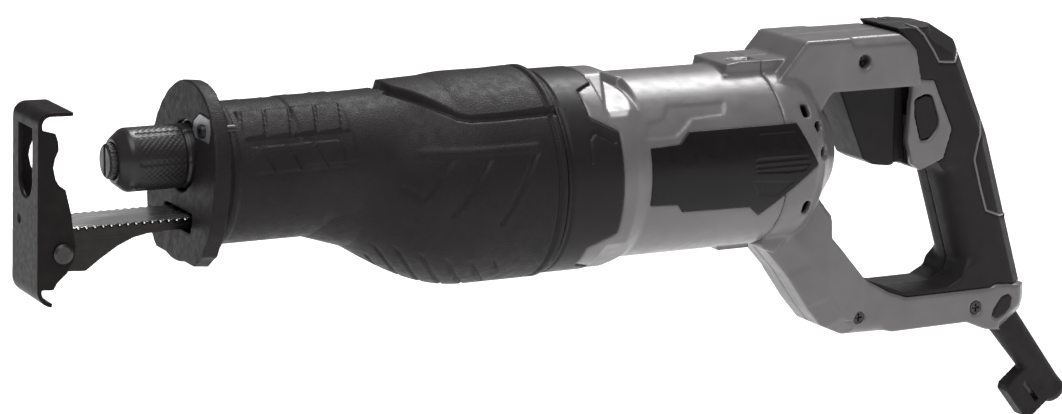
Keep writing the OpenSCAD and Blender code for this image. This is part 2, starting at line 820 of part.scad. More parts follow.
module at_relief() {
    translate([relief_at[0], 0, relief_at[1]]) rotate([0, relief_turn, 0]) children();
}

screw_at = [[360, 21.7], [363, -99.8], [428.9, -101.7]];

// Hollow of both handle shells together
module handle_inside() {
    x_turn([
        [0, 307], [39, 307], [39, 322], [35.8, 327.4], [26.4, 335.4], [18.5, 343.2], [0, 346]
    ], motor_z);
    y_prism([
        [307, 11], [313.4, 12], [317, 15.6], [329.6, 30.6], [379, 30.6], [385.4, 24.6], [388.6, 11.2],
        [341.5, 11.2], [332, 0], [307, 0]
    ], -18.8, 18.8);
    y_prism([
        [322, -40], [322, -60.4], [334.4, -75.6], [347, -93.4], [352, -98.6], [356, -101.4],
        [360, -104.6], [360, -80], [342, -60.4], [341.6, -50.4], [335, -42]
    ], -16.4, 16.4);
    block([371.6, -9.3, 20.1], [398.4, 9.3, 30.4]);
    y_prism([[368, -106.2], [423, -105.4], [436, -107], [447, -107], [450, -104], [450, -96.4],
             [390, -96.4], [378, -92.4], [368, -87]], -15, 15);
    y_prism([
        [388, 30.6], [397, 28.6], [406, 21.6], [409.4, 14], [426.6, -25], [440.2, -63.4],
        [446.4, -85.4], [447.6, -97], [428, -97], [427.6, -80], [413.6, -35.5], [401.5, -12], [394.6, 9]
    ], -12.4, 12.4);
}

module handle_shell(side) {
    half = side > 0 ? [0, 60] : [-60, 0];
    color(grey) difference() {
        intersection() {
            handle_outside();
            block([300, half[0], -140], [470, half[1], 60]);
        }
        difference() {
            handle_inside();
            for (p = screw_at) y_rod(-60, 60, 4.2, p[0], p[1]);
        }
        y_prism([
            [350.6, 24], [350.6, 7], [362, -33], [392, -33], [401, -26], [400.5, -8], [391, 24]
        ], -13.1, 13.1);
        for (p = screw_at) {
            y_rod(-60, -15, 3.2, p[0], p[1]);
            y_rod(-16, 12, 1.6, p[0], p[1]);
        }
        y_prism(lock_line, -60, side > 0 ? -59 : -10);
        at_relief() translate([0, 0, -30]) cylinder(h = 60, r = 8.2);
        y_rod(-17.5, 17.5, 2, 362, 16);
        panel_form(side, 50);
        for (p = [[320.6, 35.5], [321, -29]])
            translate([p[0], 0, motor_z]) rotate([side * p[1], 0, 0]) translate([0, side * 38, 0])
                cube([3.6, 30, 7], center = true);
        for (z = [-3.6, -15])
            translate([327, side * 34, z]) rotate([0, 0, side * 40]) cube([9, 9, 4.4], center = true);
    }
}

module handle_left() { handle_shell(-1); }
module handle_right() { handle_shell(1); }

module grip_cover(side) {
    color(black) difference() {
        y_prism(grip_line, min(0, side * grip_w), max(0, side * grip_w));
        handle_outside();
        edge_bars([[403, 35.6], [416.5, 27.6], [437.6, -20.7], [459.6, -93]],
                  grip_w, cover_bevel, [side]);
    }
}

module grip_cover_left() { grip_cover(-1); }
module grip_cover_right() { grip_cover(1); }

module handle_screws() {
    color(dark) for (p = screw_at) difference() {
        union() {
            y_rod(-17.4, -15, 3, p[0], p[1]);
            y_rod(-15.1, 11.5, 1.6, p[0], p[1]);
        }
        translate([p[0], -17.4, p[1]]) {
            cube([4, 2, 0.9], center = true);
            cube([0.9, 2, 4], center = true);
        }
    }
}

module trigger() {
    color(black) difference() {
        union() {
            y_prism([
                [353.8, 19.5], [352.8, 7.5], [357.5, -4], [366.6, -26], [372, -28.8], [379.6, -29.9],
                [383, -29.6], [383, 14.8], [370, 19.5]
            ], -12.5, 12.5);
            y_prism([[382, 14.8], [382, -29.6], [390.5, -28.6], [387.5, 14.8]], -10.2, 10.2);
        }
        y_rod(-20, 20, 2 + run, 362, 16);
        y_prism([[368, 12], [371, -20], [384, -22], [384, 8]], -6, 6);
    }
}

module trigger_pin() { color(steel) y_rod(-17.4, 17.4, 2, 362, 16); }

module switch_module() {
    color(dark) difference() {
        block([372, -9, 20.5], [398, 9, 30]);
        translate([384, 0, 19]) cylinder(h = 9, r = 2.6 + run);
    }
}

module switch_plunger() {
    color(alloy) translate([384, 0, 15.8]) cylinder(h = 8, r = 2.6);
}

lock_c = [397.2, -7.6];     // middle of the lock button's window

module lock_button() {
    color(black) translate([lock_c[0], 0, lock_c[1]]) scale(0.92)
        translate([-lock_c[0], 0, -lock_c[1]]) y_prism(lock_line, -18, -14.2);
}

module lock_spring() {
    color(steel) for (i = [0:2])
        translate([402.2, -12.2 + i * 1.5, -8]) rotate([90, 0, 0]) rotate_extrude()
            translate([1.1, 0]) circle(r = 0.4, $fn = 12);
}

module cable_clamp() {
    color(dark) {
        block([433.6, -14.8, -104.4], [440.6, 14.8, -101.4]);
        for (s = [-1, 1]) translate([437, s * 9, -106]) cylinder(h = 7, r = 1.8);
    }
}

module strain_relief() {
    color(black) at_relief() difference() {
        union() {
            translate([0, 0, -4]) cylinder(h = 50, r1 = 8.2, r2 = 6.6);
            translate([0, 0, 45.9]) cylinder(h = 6, r1 = 6.6, r2 = 7);
            translate([0, 0, 51.9]) cylinder(h = 3.2, r1 = 7, r2 = 5.4);
            translate([0, 0, -6]) cylinder(h = 4, r = 8.2);
            y_prism([
                [4, 29.5], [18.4, 29.5], [20.7, 31.5], [20.7, 49], [18.5, 52], [5, 52]
            ], -4.5, 4.5);
        }
        y_prism([[9.4, 35], [11.6, 35], [11.6, 47.8], [9.4, 47.8]], -10, 10);
        translate([0, 0, -20]) cylinder(h = 90, r = 4);
    }
}

shoe_plate();
shoe_rivet();
shoe_arm();
arm_clamp_plate();
arm_clamp_screws();
chuck_cap();
chuck_sleeve();
chuck_body();
chuck_pin();
chuck_spring();
sleeve_circlip();
spindle();
felt_seal();
front_bush();
rear_bush();
nose_boot();
nose_plate();
nose_screw();
gearbox_housing();
bearing_plate();
gearbox_screws();
front_collar();
layshaft();
layshaft_gear();
wobble_drum();
wobble_balls();
wobble_ring();
layshaft_front_bearing();
layshaft_rear_bearing();
armature_shaft();
drive_pinion();
armature_core();
armature_winding();
commutator();
cooling_fan();
motor_front_bearing();
motor_rear_bearing();
stator_core();
field_coils();
fan_baffle();
brush_holders();
carbon_brushes();
brush_springs();
motor_housing();
side_panel_left();
side_panel_right();
handle_left();
handle_right();
grip_cover_left();
grip_cover_right();
handle_screws();
trigger();
trigger_pin();
switch_module();
switch_plunger();
lock_button();
lock_spring();
cable_clamp();
strain_relief();
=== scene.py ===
import json
import math

import bmesh
import bpy
import numpy as np
from mathutils import Matrix, Vector
from mathutils.bvhtree import BVHTree


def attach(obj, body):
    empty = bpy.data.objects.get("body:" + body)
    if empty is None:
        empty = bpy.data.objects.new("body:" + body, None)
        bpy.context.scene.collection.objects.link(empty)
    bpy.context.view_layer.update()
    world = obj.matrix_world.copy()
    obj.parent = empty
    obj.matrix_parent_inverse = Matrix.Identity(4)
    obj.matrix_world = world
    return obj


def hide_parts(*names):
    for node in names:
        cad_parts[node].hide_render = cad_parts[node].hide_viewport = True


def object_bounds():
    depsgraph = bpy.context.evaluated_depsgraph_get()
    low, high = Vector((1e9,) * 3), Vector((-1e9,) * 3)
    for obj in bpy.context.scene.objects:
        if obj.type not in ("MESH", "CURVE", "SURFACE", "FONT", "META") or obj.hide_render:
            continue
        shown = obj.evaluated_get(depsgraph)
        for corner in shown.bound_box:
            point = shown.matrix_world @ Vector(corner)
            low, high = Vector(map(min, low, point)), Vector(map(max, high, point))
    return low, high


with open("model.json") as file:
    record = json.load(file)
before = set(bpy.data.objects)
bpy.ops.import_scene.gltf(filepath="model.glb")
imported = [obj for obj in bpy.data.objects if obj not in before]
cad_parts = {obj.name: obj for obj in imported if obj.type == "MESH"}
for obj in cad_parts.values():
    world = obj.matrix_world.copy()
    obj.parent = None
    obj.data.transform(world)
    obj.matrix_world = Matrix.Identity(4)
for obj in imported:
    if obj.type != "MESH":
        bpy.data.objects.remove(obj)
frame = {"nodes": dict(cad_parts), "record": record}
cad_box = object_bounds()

# Looks of a corded reciprocating saw. Metres, nose towards -X, +Z up, label side -Y.
# Outlines below are in millimetres, as (x, z) or (x, y) pairs, and MM turns them to metres.

MM = 0.001
AXIS_Z = -20.0              # height of the motor's axis
NECK_Z = -8.7               # height of the neck's axis
RECORD = frame["record"]
SLOT_OF = {part["node"]: part["material_slot"] for part in RECORD["subparts"]}
BODY_OF = {node: body for body, nodes in RECORD["behaviour"]["bodies"].items() for node in nodes}


# ---- materials -------------------------------------------------------------------

class Finish:
    """A Principled material whose textures run in the row frame."""

    def __init__(self, name, metallic=0.0, specular=0.5):
        self.material = bpy.data.materials.new(name)
        self.material.use_nodes = True
        self.tree = self.material.node_tree
        self.shader = self.tree.nodes["Principled BSDF"]
        self.shader.inputs["Metallic"].default_value = metallic
        self.shader.inputs["Specular IOR Level"].default_value = specular
        self.place = self.tree.nodes.new("ShaderNodeTexCoord").outputs["Object"]
        self.height = None

    def node(self, kind, *values, **settings):
        made = self.tree.nodes.new("ShaderNode" + kind)
        for key, value in settings.items():
            setattr(made, key, value)
        for socket, value in values:
            if hasattr(value, "is_output"):
                self.tree.links.new(value, made.inputs[socket])
            else:
                made.inputs[socket].default_value = value
        return made

    def stretched(self, factors):
        return self.node("Mapping", ("Vector", self.place), ("Scale", factors)).outputs[0]

    def noise(self, size_mm, detail=2.0, stretch=None):
        place = self.stretched(stretch) if stretch else self.place
        return self.node("TexNoise", ("Vector", place), ("Scale", 1 / (size_mm * MM)),
                         ("Detail", detail), ("Roughness", 0.55)).outputs["Fac"]

    def cells(self, size_mm, stretch=None):
        place = self.stretched(stretch) if stretch else self.place
        return self.node("TexVoronoi", ("Vector", place), ("Scale", 1 / (size_mm * MM)),
                         feature="DISTANCE_TO_EDGE").outputs["Distance"]

    def spread(self, value, low, high, to_low, to_high):
        return self.node("MapRange", ("Value", value), ("From Min", low), ("From Max", high),
                         ("To Min", to_low), ("To Max", to_high)).outputs[0]

    def blend(self, share, first, second):
        mixed = self.node("Mix", ("Factor", share), data_type="RGBA")
        for socket, value in ((6, first), (7, second)):
            if hasattr(value, "is_output"):
                self.tree.links.new(value, mixed.inputs[socket])
            else:
                mixed.inputs[socket].default_value = (*value, 1)
        return mixed.outputs[2]

    def colour(self, value):
        self.tree.links.new(value, self.shader.inputs["Base Color"])

    def roughness(self, value):
        self.tree.links.new(value, self.shader.inputs["Roughness"])

    def relief(self, value, depth_mm):
        bump = self.node("Bump", ("Height", value), ("Distance", depth_mm * MM), ("Strength", 1.0))
        if self.height:
            self.tree.links.new(self.height, bump.inputs["Normal"])
        self.height = bump.outputs[0]
        self.tree.links.new(self.height, self.shader.inputs["Normal"])

    def worn_edges(self, base, bright, low=0.53, high=0.6, share=0.6):
        sharp = self.node("NewGeometry").outputs["Pointiness"]
        rub = self.spread(self.noise(3.0, 4), 0.35, 0.65, 0.2, 1.0)
        edge = self.node("Math", (0, self.spread(sharp, low, high, 0.0, share)), (1, rub),
                         operation="MULTIPLY").outputs[0]
        return self.blend(edge, base, bright)


def shade(colour, factor):
    return tuple(c * factor for c in colour)


def moulded(name, colour, rough, grain_mm, grain_depth, specular=0.5, edge=1.35, mottle=0.08):
    """Injection-moulded plastic or rubber: faint mottling, spark-eroded grain, lighter edges."""
    finish = Finish(name, specular=specular)
    cloud = finish.spread(finish.noise(14, 3), 0.3, 0.7, 0.0, 1.0)
    base = finish.blend(cloud, shade(colour, 1 - mottle), shade(colour, 1 + mottle))
    finish.colour(finish.worn_edges(base, shade(colour, edge)))
    finish.roughness(finish.spread(finish.noise(5, 4), 0.3, 0.7, rough - 0.05, rough + 0.06))
    finish.relief(finish.noise(grain_mm, 3), grain_depth)
    return finish


def metal(name, colour, rough, streak=(1.0, 1.0, 1.0), stain=0.75):
    """Machined or blackened metal, with tool streaks across one axis and slight staining."""
    finish = Finish(name, metallic=1.0)
    cloud = finish.spread(finish.noise(6, 4), 0.35, 0.7, 0.0, 1.0)
    finish.colour(finish.blend(cloud, colour, shade(colour, stain)))
    lines = finish.noise(0.6, 2, stretch=streak)
    finish.roughness(finish.spread(lines, 0.3, 0.7, rough - 0.06, rough + 0.08))
    finish.relief(lines, 0.01)
    return finish


ALONG_X = (0.04, 1.0, 1.0)
ACROSS_X = (1.0, 0.06, 0.06)

GREY = (0.096, 0.0905, 0.092)
RUBBER = (0.0115, 0.0098, 0.0102)
BLACK_EDGE = 1.8            # how much lighter black mouldings are along worn edges


def make_finishes():
    return {
        "grey_plastic": moulded("grey_plastic", GREY, 0.34, 0.5, 0.012, edge=1.3),
        "black_plastic": moulded("black_plastic", RUBBER, 0.42, 0.5, 0.02,
                                 specular=0.14, edge=BLACK_EDGE),
        "panel_black": moulded("panel_black", (0.0075, 0.0062, 0.0064), 0.3, 0.6, 0.008,
                               specular=0.16, edge=BLACK_EDGE),
        "trigger_plastic": moulded("trigger_plastic", (0.0105, 0.009, 0.0093), 0.4, 0.5, 0.015,
                                   specular=0.14, edge=BLACK_EDGE),
        "natural_plastic": moulded("natural_plastic", (0.62, 0.6, 0.55), 0.45, 0.7, 0.01),
        "grip_rubber": moulded("grip_rubber", RUBBER, 0.6, 0.7, 0.04,
                               specular=0.18, edge=BLACK_EDGE),
        "chuck_black": moulded("chuck_black", (0.013, 0.0115, 0.0118), 0.36, 0.6, 0.02,
                               specular=0.3, edge=2.2),
        "carbon": moulded("carbon", (0.02, 0.02, 0.021), 0.55, 0.3, 0.02),
        "felt": moulded("felt", (0.32, 0.28, 0.22), 0.9, 0.4, 0.15, specular=0.2),
        "bright_steel": metal("bright_steel", (0.52, 0.52, 0.54), 0.26, ACROSS_X),
        "dark_steel": metal("dark_steel", (0.06, 0.058, 0.06), 0.4, ACROSS_X),
        "bronze": metal("bronze", (0.55, 0.34, 0.15), 0.38, ACROSS_X),
        "cast_alloy": metal("cast_alloy", (0.45, 0.45, 0.47), 0.48, stain=0.8),
        "lamination": metal("lamination", (0.22, 0.22, 0.23), 0.4, (1.0, 0.02, 0.02)),
        "copper": metal("copper", (0.6, 0.24, 0.1), 0.32, (0.03, 1.0, 1.0), stain=0.6),
        "brass": metal("brass", (0.66, 0.48, 0.18), 0.3, ALONG_X),
        "black_rubber": boot_rubber(),
        "black_steel": lacquered_steel(),
        "arm_steel": arm_steel(),
    }


def boot_rubber():
    """Thick moulded rubber with a leathery grain and a soft sheen."""
    finish = Finish("black_rubber", specular=0.13)
    cloud = finish.spread(finish.noise(22, 3), 0.3, 0.7, 0.0, 1.0)
    base = finish.blend(cloud, shade(RUBBER, 0.85), shade(RUBBER, 1.2))
    finish.colour(finish.worn_edges(base, shade(RUBBER, 2.2), 0.52, 0.58, 0.7))
    finish.roughness(finish.spread(finish.noise(4, 5), 0.3, 0.7, 0.42, 0.6))
    grain = finish.spread(finish.cells(1.5), 0.0, 0.25, 0.0, 1.0)
    finish.relief(grain, 0.05)
    finish.relief(finish.noise(0.5, 3), 0.03)
    return finish


def lacquered_steel():
    """Black stoved lacquer over pressed sheet."""
    finish = Finish("black_steel", specular=0.05)
    base = finish.blend(finish.spread(finish.noise(9, 4), 0.3, 0.7, 0.0, 1.0),
                        (0.0085, 0.0072, 0.0072), (0.0135, 0.0115, 0.0115))
    finish.colour(finish.worn_edges(base, (0.07, 0.066, 0.066), 0.54, 0.64, 0.5))
    finish.roughness(finish.spread(finish.noise(2.5, 5), 0.3, 0.7, 0.3, 0.46))
    finish.relief(finish.noise(1.1, 3), 0.02)
    return finish


def arm_steel():
    """Blackened sheet whose flat top is painted bright: a painted sheen standing for the light it
    reflects from above.
    """
    finish = Finish("arm_steel", metallic=1.0)
    normal = finish.node("NewGeometry").outputs["Normal"]
    up = finish.node("SeparateXYZ", ("Vector", normal)).outputs["Z"]
    # faces that point up get the bright colour: painted sheen of the light from above, not wear
    lit_top = finish.spread(up, 0.6, 0.9, 0.0, 1.0)
    streaks = finish.noise(0.8, 3, stretch=ALONG_X)
    bright = finish.blend(streaks, (0.7, 0.7, 0.71), (0.95, 0.95, 0.95))
    dark = finish.blend(finish.noise(5, 3), (0.018, 0.016, 0.016), (0.03, 0.027, 0.027))
    finish.colour(finish.blend(lit_top, dark, bright))
    finish.roughness(finish.spread(streaks, 0.3, 0.7, 0.2, 0.36))
    finish.relief(streaks, 0.01)
    return finish


FINISHES = make_finishes()


def dress(piece, slot):
    piece.data.materials.clear()
    piece.data.materials.append(FINISHES[slot].material)


# ---- pieces made from the frame ---------------------------------------------------------

COARSE = 1.0


def new_piece(name, data):
    """An object in the scene: a piece, or the camera, a lamp or the floor."""
    piece = bpy.data.objects.new(name, data)
    bpy.context.scene.collection.objects.link(piece)
    return piece


def settle(piece):
    """Applies the piece's modifiers."""
    shown = piece.evaluated_get(bpy.context.evaluated_depsgraph_get())
    mesh = bpy.data.meshes.new_from_object(shown)
    piece.modifiers.clear()
    old, piece.data = piece.data, mesh
    bpy.data.meshes.remove(old)
    return piece


def install(piece, *nodes, slot=None):
    """The finished piece stands for its CAD nodes and moves with them."""
    piece.data.shade_smooth()
    dress(piece, slot or SLOT_OF[nodes[0]])
    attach(piece, BODY_OF[nodes[0]])
    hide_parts(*nodes)
    return piece


def softened(node, voxel_mm, rounds=3, name=None, partner=None):
    """A copy of a CAD node, or of two that meet, remeshed evenly, with moulded round edges."""
    work = bmesh.new()
    for source in (node, partner):
        if source:
            work.from_mesh(frame["nodes"][source].data)
    mesh = bpy.data.meshes.new(name or node + "_shell")
    work.to_mesh(mesh)
    work.free()
    piece = new_piece(name or node + "_shell", mesh)
    remesh = piece.modifiers.new("even", "REMESH")
    remesh.mode = "VOXEL"
    remesh.voxel_size = voxel_mm * MM * COARSE
    smooth = piece.modifiers.new("round", "SMOOTH")
    smooth.factor = 0.5
    smooth.iterations = rounds
    return settle(piece)


def points_of(piece):
    points = np.empty(len(piece.data.vertices) * 3)
    piece.data.vertices.foreach_get("co", points)
    return points.reshape(-1, 3) / MM


def put_back(piece, points):
    piece.data.vertices.foreach_set("co", (points * MM).ravel())
    piece.data.update()


def normals_of(piece):
    normals = np.empty(len(piece.data.vertices) * 3)
    piece.data.vertices.foreach_get("normal", normals)
    return normals.reshape(-1, 3)


def sink(piece, depth_mm):
    """Moves each point inwards along its normal by its own depth."""
    put_back(piece, points_of(piece) - normals_of(piece) * depth_mm[:, None])


def step(value, low, high):
    share = np.clip((value - low) / (high - low), 0, 1)
    return share * share * (3 - 2 * share)


def band(value, low, high, ramp):
    """1 between low and high and 0 outside, with a soft ramp of that width inside each end."""
    return step(value, low, low + ramp) * (1 - step(value, high - ramp, high))


def line_distance(u, v, line):
    """Distance from points (u, v) to an open line of corners."""
    nearest = np.full(np.shape(u), 1e9)
    for (u0, v0), (u1, v1) in zip(line, line[1:]):
        du, dv = u1 - u0, v1 - v0
        t = np.clip(((u - u0) * du + (v - v0) * dv) / (du * du + dv * dv), 0, 1)
        nearest = np.minimum(nearest, np.hypot(u - u0 - t * du, v - v0 - t * dv))
    return nearest


def inside(u, v, outline):
    """True for points (u, v) inside a closed outline of corners."""
    found = np.zeros(np.shape(u), bool)
    for (u0, v0), (u1, v1) in zip(outline, outline[1:] + outline[:1]):
        crosses = (v0 > v) != (v1 > v)
        rise = v1 - v0 if v1 != v0 else 1e-9
        found ^= crosses & (u < u0 + (v - v0) / rise * (u1 - u0))
    return found


def plateau(u, v, outline, ramp):
    """1 inside a closed outline and 0 outside, with a ramp of that width inside its edge."""
    away = line_distance(u, v, outline + outline[:1])
    return np.where(inside(u, v, outline), np.clip(away / ramp, 0, 1), 0)


def round_edges(piece, line, half_width, radius):
    """Rounds the two edges that run along a line of (x, z) corners at either side of a grip.

    The solid lies to the right of the line, seen from -Y. The rounding fades out past its ends.
    """
    points = points_of(piece)
    x, y, z = points.T
    nearest = np.full(len(x), 1e9)
    depth, over = np.full(len(x), 1e9), np.zeros(len(x))
    across_x, across_z = np.zeros(len(x)), np.zeros(len(x))
    for (x0, z0), (x1, z1) in zip(line, line[1:]):
        long = math.hypot(x1 - x0, z1 - z0)
        ux, uz = (x1 - x0) / long, (z1 - z0) / long
        reached = (x - x0) * ux + (z - z0) * uz
        along = np.clip(reached, 0, long)
        away = np.hypot(x - x0 - along * ux, z - z0 - along * uz)
        closer = away < nearest
        nearest = np.where(closer, away, nearest)
        depth = np.where(closer, (x - x0) * uz - (z - z0) * ux, depth)
        over = np.where(closer, np.abs(reached - along), over)
        across_x, across_z = np.where(closer, uz, across_x), np.where(closer, -ux, across_z)
    u, v = radius - depth, np.abs(y) - (half_width - radius)
    reach = np.hypot(u, v)
    near = (u > 0) & (v > 0) & (reach > radius) & (nearest < radius + 1)
    pull = np.where(near, 1 - radius / np.maximum(reach, 1e-6), 0) * (1 - step(over, 0.5, 7))
    points[:, 0] += pull * u * across_x
    points[:, 2] += pull * u * across_z
    points[:, 1] -= pull * v * np.sign(y)
    put_back(piece, points)


# ---- rubber boot ----------------------------------------------------------------------

NECK_R = 30.4
NECK_RISE = NECK_Z - AXIS_Z
BELLY_R = 46.4
BELLY_X = (98.0, 160.0)     # where the belly starts and where it is full
BOOT_X = (37.8, 194.0)
FLANGE_ANGLE = math.radians(5.7)
FLANGE_X, FLANGE_Z = 42.2, -6.5     # middle of the flange's rear face
BOOT_WALL = 3.0
BOOT_FILLET = 5.0           # size of the blend between neck and belly
BELLY_ROOT = 19.0           # radius that the belly's curve grows from, inside the neck

# Edge of the palm pad, as (x, degrees from the top). Its corners are all different points.
PAD_EDGE = [(124, 0), (125, 11), (140.5, 34), (148, 43.5), (153.5, 46.4), (164, 46.8), (199, 45.6)]
PAD_X, PAD_R = (124.3, 187.0), (45.4, 47.8)     # radius of the pad's top at two places along it
PAD_SQUEEZE = 0.8           # millimetres along the skin for each degree round it
PAD_OUTLINE = PAD_EDGE + [(x, -turn) for x, turn in reversed(PAD_EDGE[1:])]

# Repeats of the neck's tiles and wedges and of the steps under the belly
TILE_PITCH, WEDGE_PITCH, STEP_PITCH = 11.5, 12.0, 10.5

# Strokes moulded into each side of the belly, as (x, z)
STROKES = [
    [(142, -2.5), (128.5, -20), (121.8, -15)],
    [(158, -3.5), (141, -27)],
    [(181, -1.5), (163, -32)],
]


def belly_radius(x):
    grown = np.clip((x - BELLY_X[0]) / (BELLY_X[1] - BELLY_X[0]), 0, 1)
    return BELLY_ROOT + (BELLY_R - BELLY_ROOT) * np.sin(np.pi / 2 * grown)


def boot_radius(x, turn):
    """Distance of the boot's plain skin from the motor's axis; turn is from the top, in radians."""
    neck = NECK_RISE * np.cos(turn) + np.sqrt(NECK_R ** 2 - (NECK_RISE * np.sin(turn)) ** 2)
    belly = belly_radius(x)
    joined = (neck + belly + np.sqrt((neck - belly) ** 2 + BOOT_FILLET ** 2)) / 2
    return np.where(x < BELLY_X[0] - 6, neck, neck + (joined - neck) * step(x, 92, 104))


def boot_detail(x, turn, radius):
    """Height of pads, scales, strokes and grooves over the plain skin."""
    degrees = np.degrees(turn)
    side = np.abs(degrees)                       # 0 at the top, 90 at either side
    z = AXIS_Z + radius * np.cos(turn)
    arc = np.radians(side) * radius
    height = np.zeros(np.shape(x))

    # palm pad, a raised plate with a groove round it
    pad_v = degrees * PAD_SQUEEZE
    outline = [(u, v * PAD_SQUEEZE) for u, v in PAD_OUTLINE]
    pad = plateau(x, pad_v, outline, 2.0)
    pad_radius = PAD_R[0] + (PAD_R[1] - PAD_R[0]) * (x - PAD_X[0]) / (PAD_X[1] - PAD_X[0])
    height += pad * np.maximum(pad_radius - radius, 0)
    edge = line_distance(x, pad_v, outline)
    height -= 1.5 * (1 - step(edge, 0.7, 2.0)) * (x > PAD_EDGE[0][0] - 2)

    # scales on the neck: one row of tiles, one of wedges below it
    tile = np.mod(x + 0.25 * arc, TILE_PITCH)
    row = band(side, 17, 40.5, 1.5) * band(x, 52, 101, 1)
    height += row * (0.5 + 0.07 * tile - 0.9 * step(np.abs(tile - TILE_PITCH / 2), 4.9, 5.7))
    wedge = np.mod(x - 0.9 * (arc - 32), WEDGE_PITCH)
    low_row = band(side, 45, 63, 1) * band(x, 55, 97, 2)
    height += low_row * 1.2 * (wedge / WEDGE_PITCH)

    # slanted strokes and the ridge over them
    flank = (side > 58) & (side < 125)
    for stroke in STROKES:
        away = line_distance(x, z, stroke)
        height -= 0.8 * (1 - step(away, 0.4, 1.6)) * flank
    ridge = np.abs(z + 0.4)
    ridge_reach = step(x, 126, 132) * (1 - step(x, 180, 184))
    height += 0.7 * (1 - step(ridge, 0.5, 2.6)) * ridge_reach * flank

    # steps under the belly
    under = step(side, 128, 134) * band(x, 112, 170, 4)
    height -= under * 0.9 * step(np.mod(x + 0.5 * np.abs(side - 180), STEP_PITCH), 8.2, 9.6)

    # rings round the neck and the seam before the collar
    height += 1.0 * (1 - step(np.abs(x - 47), 1.0, 2.2))
    height += 0.45 * step(x, 77.5, 78.5) * (1 - step(x, 101, 103)) * (side < 60)
    height -= 1.2 * (1 - step(np.abs(x - 190.6), 0.4, 1.1))
    return height


def boot_skin():
    rings, spokes = ((225, 400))
    stations = np.linspace(BOOT_X[0], BOOT_X[1], rings)
    turns = np.linspace(-math.pi, math.pi, spokes, endpoint=False)
    x, turn = np.meshgrid(stations, turns, indexing="ij")
    radius = boot_radius(x, turn)
    radius = radius + boot_detail(x, turn, radius)
    inner = np.maximum(boot_radius(x, turn) - BOOT_WALL, 12)
    layers = [(x, radius)]
    for share in (1.0, 0.75, 0.5, 0.25, 0.0):
        ring = round((rings - 1) * share)
        layers.append((x[ring:ring + 1], inner[ring:ring + 1]))
    xs = np.concatenate([layer[0] for layer in layers])
    rs = np.concatenate([layer[1] for layer in layers])
    turn = np.broadcast_to(turns, xs.shape)
    z = AXIS_Z + rs * np.cos(turn)
    lean = math.tan(FLANGE_ANGLE) * (z - FLANGE_Z) * (1 - step(xs, BOOT_X[0], 62))
    points = np.stack([xs + lean, rs * np.sin(turn), z], -1).reshape(-1, 3) * MM
    count = len(xs)
    faces = []
    for i in range(count):
        for j in range(spokes):
            here, there = i * spokes, (i + 1) % count * spokes
            k = (j + 1) % spokes
            faces.append((here + j, here + k, there + k, there + j))
    mesh = bpy.data.meshes.new("nose_boot_skin")
    mesh.from_pydata(points.tolist(), [], faces)
    mesh.update()
    return install(new_piece("nose_boot_skin", mesh), "nose_boot")


def boot_flange():
    """The boot's front flange, cut from its CAD form behind the flange's rear face."""
    piece = softened("nose_boot", 0.6, 3, "nose_boot_flange")
    work = bmesh.new()
    work.from_mesh(piece.data)
    normal = Vector((math.cos(FLANGE_ANGLE), 0, -math.sin(FLANGE_ANGLE)))
    cut = bmesh.ops.bisect_plane(
        work, geom=work.verts[:] + work.edges[:] + work.faces[:], dist=1e-6,
        plane_co=Vector((FLANGE_X * MM, 0, FLANGE_Z * MM)), plane_no=normal, clear_outer=True)
    rim = [item for item in cut["geom_cut"] if isinstance(item, bmesh.types.BMEdge)]
    bmesh.ops.holes_fill(work, edges=rim, sides=0)
    work.to_mesh(piece.data)
    work.free()
    return install(piece, "nose_boot")


# ---- barrel, collar and panels -------------------------------------------------------------

# Screw pockets behind the flare: x range, degrees from the top, and how far the front edge leans
POCKET_X, POCKET_TURN, POCKET_LEAN = (219.0, 238.5), (14.0, 46.0), 9.0
POCKET_DEPTH = 3.4
BARREL_SKIN_R = 41.0        # what lies further out than this is the barrel's outside

# Oval slot in the block on top of the barrel: centre and half lengths in x and y
SLOT_CENTRE, SLOT_HALF, SLOT_DEPTH = (302.5, -6.5), (8.5, 3.6), 1.6
BLOCK_TOP_Z = 22.0


def barrel():
    piece = softened("motor_housing", 0.8, 3)
    x, y, z = points_of(piece).T
    turn = np.degrees(np.arctan2(np.abs(y), z - AXIS_Z))
    upward = np.clip((POCKET_TURN[1] - turn) / (POCKET_TURN[1] - POCKET_TURN[0]), 0, 1)
    front = POCKET_X[0] + POCKET_LEAN * upward
    spot = band(x, front, POCKET_X[1], 1.2) * step(turn, POCKET_TURN[0] - 1.5, POCKET_TURN[0])
    outer = np.hypot(y, z - AXIS_Z) > BARREL_SKIN_R
    pocket = POCKET_DEPTH * upward * spot * outer
    oval = np.hypot((x - SLOT_CENTRE[0]) / SLOT_HALF[0], (y - SLOT_CENTRE[1]) / SLOT_HALF[1])
    slot = SLOT_DEPTH * (1 - step(oval, 0.8, 1.0)) * (z > BLOCK_TOP_Z)
    sink(piece, pocket + slot)
    return install(piece, "motor_housing")


# Groove inside each side tab of the collar, as (x, z)
TAB_GROOVE = [(219.3, -1.2), (210.6, 3.4), (207.4, 0.4), (206.8, -9)]
COLLAR_SEAM_X = 197.4


def collar():
    piece = softened("front_collar", 0.6, 3)
    x, y, z = points_of(piece).T
    outward = np.abs(y) > 30
    groove = 0.6 * (1 - step(line_distance(x, z, TAB_GROOVE), 0.3, 1.0)) * outward
    seam = 0.7 * (1 - step(np.abs(x - COLLAR_SEAM_X), 0.3, 0.9))
    sink(piece, groove + seam)
    return install(piece, "front_collar")


# Embossed figure on the rear half of each side panel, as closed outlines of (x, z)
PANEL_FIELDS = [
    [(293, -3.6), (312.4, -3.6), (316.4, -11.2), (293, -10.4)],
    [(291, -13.4), (317.6, -14.2), (319.6, -19.2), (314.4, -23.2), (291, -21)],
    [(289, -24), (312, -26), (303, -33), (293, -31.6)],
]
PANEL_SINK, RIB_PITCH, RIB_HEIGHT = 0.3, 2.6, 0.2


